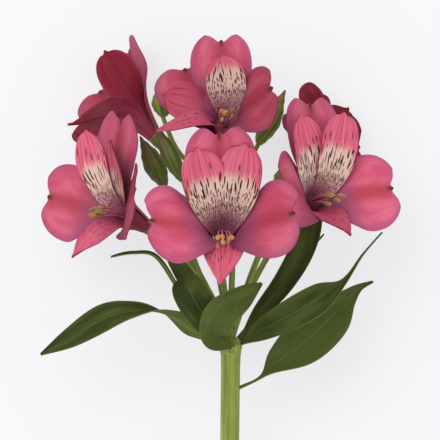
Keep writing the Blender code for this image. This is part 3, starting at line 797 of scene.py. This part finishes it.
def filament_points(bloom, i):
    """The middle line of filament i: up out of the hub, then down along one side of the bloom."""
    reach, droop, side = bloom.stamens
    azimuth = 2 * math.pi * i / FILAMENTS
    foot = Vector((0.8 * math.cos(azimuth), 0.8 * math.sin(azimuth) + 0.3, 0)) * MM
    foot.z = CORE_HEIGHT - 0.3 * MM
    spread = Vector((2.6 * math.cos(azimuth), 1.7 * math.sin(azimuth), 0)) * MM
    lower = Vector((math.cos(math.radians(side)), math.sin(math.radians(side)), 0))
    end = (lower * droop + Vector((0, 0, reach + 2.0 * math.cos(2.4 * i)))) * MM + spread
    leave = foot + Vector((0, 0, 0.6 * reach)) * MM
    arrive = end - (lower * (1.0 + 0.1 * droop) + Vector((0, 0, 2.0))) * MM
    return bezier(foot, leave, arrive, end, 6 * FILAMENT_STEPS)


def make_anther(end, along, turn):
    """A long grain with a groove down its middle, on the end of a filament."""
    deselect()
    bpy.ops.mesh.primitive_uv_sphere_add(segments=20, ring_count=14, radius=1)
    anther = bpy.context.object
    for vertex in anther.data.vertices:
        groove = 1 - 0.35 * math.exp(-((vertex.co.x / 0.25) ** 2)) * (1 if vertex.co.y > 0 else 0.5)
        vertex.co.y *= groove
    shape = Matrix.Diagonal((*ANTHER_SIZE, 1))
    upright = along.to_track_quat("Z", "Y").to_matrix().to_4x4()
    roll = Matrix.Rotation(turn, 4, "Z")
    anther.data.transform(Matrix.Translation(end + along * ANTHER_SIZE[2] / 2) @ upright @ roll @ shape)
    return anther


def make_stamens(name, bloom, number):
    rods, anthers = [], []
    for i in range(FILAMENTS):
        points = filament_points(bloom, i)
        count = len(points) - 1
        radii = [FILAMENT_RADIUS * (1.15 - 0.45 * k / count) for k in range(count + 1)]
        rods.append(drawn_rod("filament", points, radii, 10))
        if i < FILAMENTS - 1:
            anthers.append(make_anther(points[-1], (points[-1] - points[-2]).normalized(), 1.1 * i))
    deselect()
    bpy.ops.mesh.primitive_cylinder_add(
        vertices=24, radius=CORE_RADIUS, depth=CORE_HEIGHT, location=(0, 0, CORE_HEIGHT / 2)
    )
    core = bpy.context.object
    bpy.ops.object.transform_apply()
    rods.append(core)
    for part, pieces, skin in (("filaments", rods, FILAMENT_SKIN), ("anthers", anthers, ANTHER_POLLEN)):
        whole = joined(name + "_" + part, pieces)
        whole.data.materials.clear()
        whole.data.materials.append(skin)
        smooth(whole)
        whole.matrix_world = bloom_frame(bloom)
        settle(whole, "stamens_" + name)


def stalk_height(y):
    """The height of the stalk's middle line, y in millimetres from the whorl."""
    share = min(1 + y * MM / STALK_LENGTH, 1)
    return STALK_RADIUS + (WHORL_HEIGHT - STALK_RADIUS) * share**1.6


def stalk_line():
    """The stalk's middle line: on the surface at the cut end, rising in a bow to the whorl."""
    points = []
    for i in range(STALK_STEPS + 1):
        share = i / STALK_STEPS
        along = -STALK_LENGTH * (1 - share)
        points.append(Vector((STALK_SWAY * math.sin(math.pi * share), along, stalk_height(along / MM))))
    return points


def ray_points(end, axis):
    """A ray of the umbel, from the whorl to the base of an ovary."""
    start = Vector((0, 1.0 * MM, WHORL_HEIGHT))
    reach = (end - start).length
    leave = ((end - start).normalized() + Vector((0, 1, 0.1))).normalized()
    return bezier(start, start + leave * reach * 0.35, end - axis * reach * 0.35, end, RAY_STEPS)


def bud_stalk_points(bud, ray):
    """A bud's own stalk, from its place on the ray to just under the bud."""
    place = bud.leaves_at * RAY_STEPS
    step = int(place)
    start = ray[step].lerp(ray[step + 1], place - step)
    onwards = (ray[step + 1] - ray[step]).normalized()
    axis = (Vector(bud.tip) - Vector(bud.base)).normalized()
    end = Vector(bud.base) * MM
    below = end - axis * 1.5 * MM
    reach = (end - start).length
    leave, arrive = start + onwards * reach * 0.4, below - axis * reach * 0.3
    return bezier(start, leave, arrive, below, BUD_STALK_STEPS) + [end]


def finish_rod(piece, own, pale, skin=None):
    carry(piece, "own", [own] * len(piece.data.vertices))
    carry(piece, "pale", [pale] * len(piece.data.vertices))
    piece.data.materials.append(skin or STALK_SKIN)
    smooth(piece, 40)
    settle(piece, "stem")


def make_stalk():
    line = refined(stalk_line(), 4)
    count = len(line) - 1
    radii = [STALK_RADIUS * (1 - 0.02 * (k / count)) for k in range(count + 1)]
    for k in range(count + 1):
        left = (1 - k / count) * STALK_LENGTH
        radii[k] += (WHORL_RADIUS - STALK_RADIUS) * math.exp(-((left / (4 * MM)) ** 2))
    stalk = drawn_rod("stalk", line, radii, 40, 9, 0.018)
    stalk.data.materials.append(STALK_SKIN)
    stalk.data.materials.append(STALK_PITH)
    face = max((f for f in stalk.data.polygons if len(f.vertices) > 4), key=lambda f: -f.center.y)
    face.material_index = 1
    carry(stalk, "own", [0.5] * len(stalk.data.vertices))
    carry(stalk, "pale", [0.0] * len(stalk.data.vertices))
    smooth(stalk, 40)
    settle(stalk, "stem")
    deselect()
    bpy.ops.mesh.primitive_uv_sphere_add(
        segments=32, ring_count=20, radius=WHORL_RADIUS, location=stalk_line()[-1],
        rotation=(-math.pi / 2, 0, 0), calc_uvs=True,
    )
    knot = bpy.context.object
    knot.name = knot.data.name = "whorl"
    finish_rod(knot, 0.9, 0.1)


def make_rays():
    rays = {}
    for number, (name, bloom) in enumerate(BLOOMS.items()):
        axis = Vector(bloom.axis).normalized()
        base = Vector(bloom.base) * MM
        points = ray_points(base - axis * OVARY_LENGTH, axis)
        rays[name] = points
        line = refined(points, 4)
        finish_rod(drawn_rod("ray_" + name, line, [RAY_RADIUS] * len(line), 16, 5, 0.03), number, 0.25)
        steps = 16
        ovary = [base - axis * OVARY_LENGTH * (1 - k / steps) for k in range(steps + 1)]
        radii = [
            RAY_RADIUS + (OVARY_RADIUS - RAY_RADIUS) * math.sin(min(k / steps * 1.7, 1.35)) ** 1.3
            for k in range(steps + 1)
        ]
        finish_rod(drawn_rod("ovary_" + name, ovary, radii, 36, 6, 0.07), number + 0.4, 0.8)
    for number, bud in enumerate(BUDS):
        line = refined(bud_stalk_points(bud, rays[bud.ray]), 4)
        piece = drawn_rod(bud.name + "_stalk", line, [BUD_STALK_RADIUS] * len(line), 12, 5, 0.03)
        finish_rod(piece, number + 7.3, 0.3)


def bud_radius(t):
    """The bud's radius at t of its length, as a share of its widest."""
    for (low, narrow), (high, wide) in zip(BUD_OUTLINE, BUD_OUTLINE[1:]):
        if t <= high:
            return narrow + (wide - narrow) * ease(t, low, high)
    return BUD_OUTLINE[-1][1]


def make_bud(bud, number):
    """Three outer petals wrapped about each other, each with a keel down its back."""
    base, tip = Vector(bud.base) * MM, Vector(bud.tip) * MM
    length, radius = (tip - base).length, bud.radius * MM
    upright = (tip - base).to_track_quat("Z", "Y").to_matrix().to_4x4()
    wraps = []
    for k in range(3):
        def place(t, s):
            turn = 2 * math.pi * k / 3 + 1.25 * s + 0.5 * t
            over = 0.94 + 0.07 * s
            keel = 0.06 * math.exp(-((s / 0.12) ** 2)) * math.sin(math.pi * min(t, 1.0))
            out = radius * (bud_radius(t) * over + keel)
            return Vector((out * math.cos(turn), out * math.sin(turn), length * t))

        wrap = laid_grid("wrap", 40, 18, place)
        carry(wrap, "own", [number + 0.3 * k] * len(wrap.data.vertices))
        carry(wrap, "deep", [0.5 if bud.ray == "left" else 0.0] * len(wrap.data.vertices))
        thicken(wrap, 0.5 * MM, (BUD_SKIN, BUD_SKIN))
        wraps.append(wrap)
    piece = joined(bud.name, wraps)
    smooth(piece)
    piece.matrix_world = Matrix.Translation(base) @ upright
    settle(piece, bud.name)


# Painted light: how far each leaf is paled where it catches the light, 0 for none
LEAF_PAINTED_LIGHT = {"leaf_right_low": 0.35, "leaf_front": 0.30, "leaf_left": 0.0}


def leaf_point(stations, own, t, s):
    """A point of a leaf blade that arches about its midrib, with veins pressed in and a wavy edge."""
    x, y, z, half_width, turn = through(stations, t)
    ahead, behind = through(stations, min(t + 0.01, 1)), through(stations, max(t - 0.01, 0))
    along = (Vector(ahead[:3]) - Vector(behind[:3])).normalized()
    face = Vector((0, 0, 1))
    face = (face - along * face.dot(along)).normalized()
    side = along.cross(face)
    angle = math.radians(turn)
    normal = face * math.cos(angle) + side * math.sin(angle)
    across = side * math.cos(angle) - face * math.sin(angle)
    half_width = max(half_width, 0.3)
    point = arched(Vector((x, y, z)), across, normal, half_width, LEAF_ARCH, s)
    rib = -0.22 * math.exp(-((s * half_width / 0.5) ** 2))
    wave = 0.07 * half_width * abs(s) ** 2 * math.sin(15 * t + 3 * s + own)
    return (point + normal * (rib + wave)) * MM


def leaf_root(first):
    """A place inside the stalk, from which the blade comes out."""
    x, y, z, half_width, turn = first
    height = stalk_height(y) / MM
    return 0.3 * x, y - 1.5, height + 0.3 * (z - height), 1.1 * half_width, turn


def make_leaf(name, stations, number):
    own = 2.1 * number
    stations = (leaf_root(stations[0]), *stations)
    piece = laid_grid(name + "_blade", LEAF_ROWS, LEAF_COLUMNS, lambda t, s: leaf_point(stations, own, t, s))
    count = len(piece.data.vertices)
    carry(piece, "own", [own] * count)
    # painted light for this leaf
    carry(piece, "pale", [LEAF_PAINTED_LIGHT.get(name, 0.0)] * count)
    thicken(piece, LEAF_THICKNESS, (LEAF_UPPER, LEAF_UNDER))
    smooth(piece)
    settle(piece, name)


def add_camera():
    pixel = FRAME_WIDTH / FRAME_PIXELS
    middle = FRAME_PIXELS / 2
    shown = bpy.data.cameras.new("camera")
    shown.sensor_width = 36
    shown.lens = 36 * VIEW_DISTANCE / FRAME_WIDTH
    shown.clip_end = 20
    camera = bpy.data.objects.new("camera", shown)
    camera.location = (
        (middle - WHORL_PIXEL[0]) * pixel - FOOTPRINT_CENTRE.x,
        (WHORL_PIXEL[1] - middle) * pixel - FOOTPRINT_CENTRE.y,
        BLOOM_HEIGHT + VIEW_DISTANCE,
    )
    bpy.context.scene.collection.objects.link(camera)
    bpy.context.scene.camera = camera


def add_area_light(name, place, target, size, power):
    lamp = bpy.data.lights.new(name, "AREA")
    lamp.shape = "DISK"
    lamp.size = size
    lamp.energy = power
    light = bpy.data.objects.new(name, lamp)
    light.location = place
    light.rotation_euler = (Vector(target) - Vector(place)).to_track_quat("-Z", "Y").to_euler()
    bpy.context.scene.collection.objects.link(light)


def add_studio():
    deselect()
    bpy.ops.mesh.primitive_plane_add(size=6)
    surface = bpy.context.object
    surface.name = "surface"
    surface.data.materials.append(surface_finish())
    add_area_light("soft_key", (-0.5, 0.6, 1.6), (0, 0.05, 0.05), 1.1, 9)
    world = bpy.data.worlds.new("studio")
    world.use_nodes = True
    sky = world.node_tree.nodes["Background"]
    sky.inputs[0].default_value = (1, 1, 1, 1)
    sky.inputs[1].default_value = 0.85
    bpy.context.scene.world = world
    bpy.context.scene.view_settings.view_transform = "Standard"


def main():
    add_camera()
    add_studio()
    make_stalk()
    make_rays()
    for number, (name, bloom) in enumerate(BLOOMS.items()):
        make_petals(name, bloom, number)
        make_stamens(name, bloom, number)
    for number, bud in enumerate(BUDS):
        make_bud(bud, number)
    for number, (name, stations) in enumerate(LEAVES.items()):
        make_leaf(name, stations, number)


main()
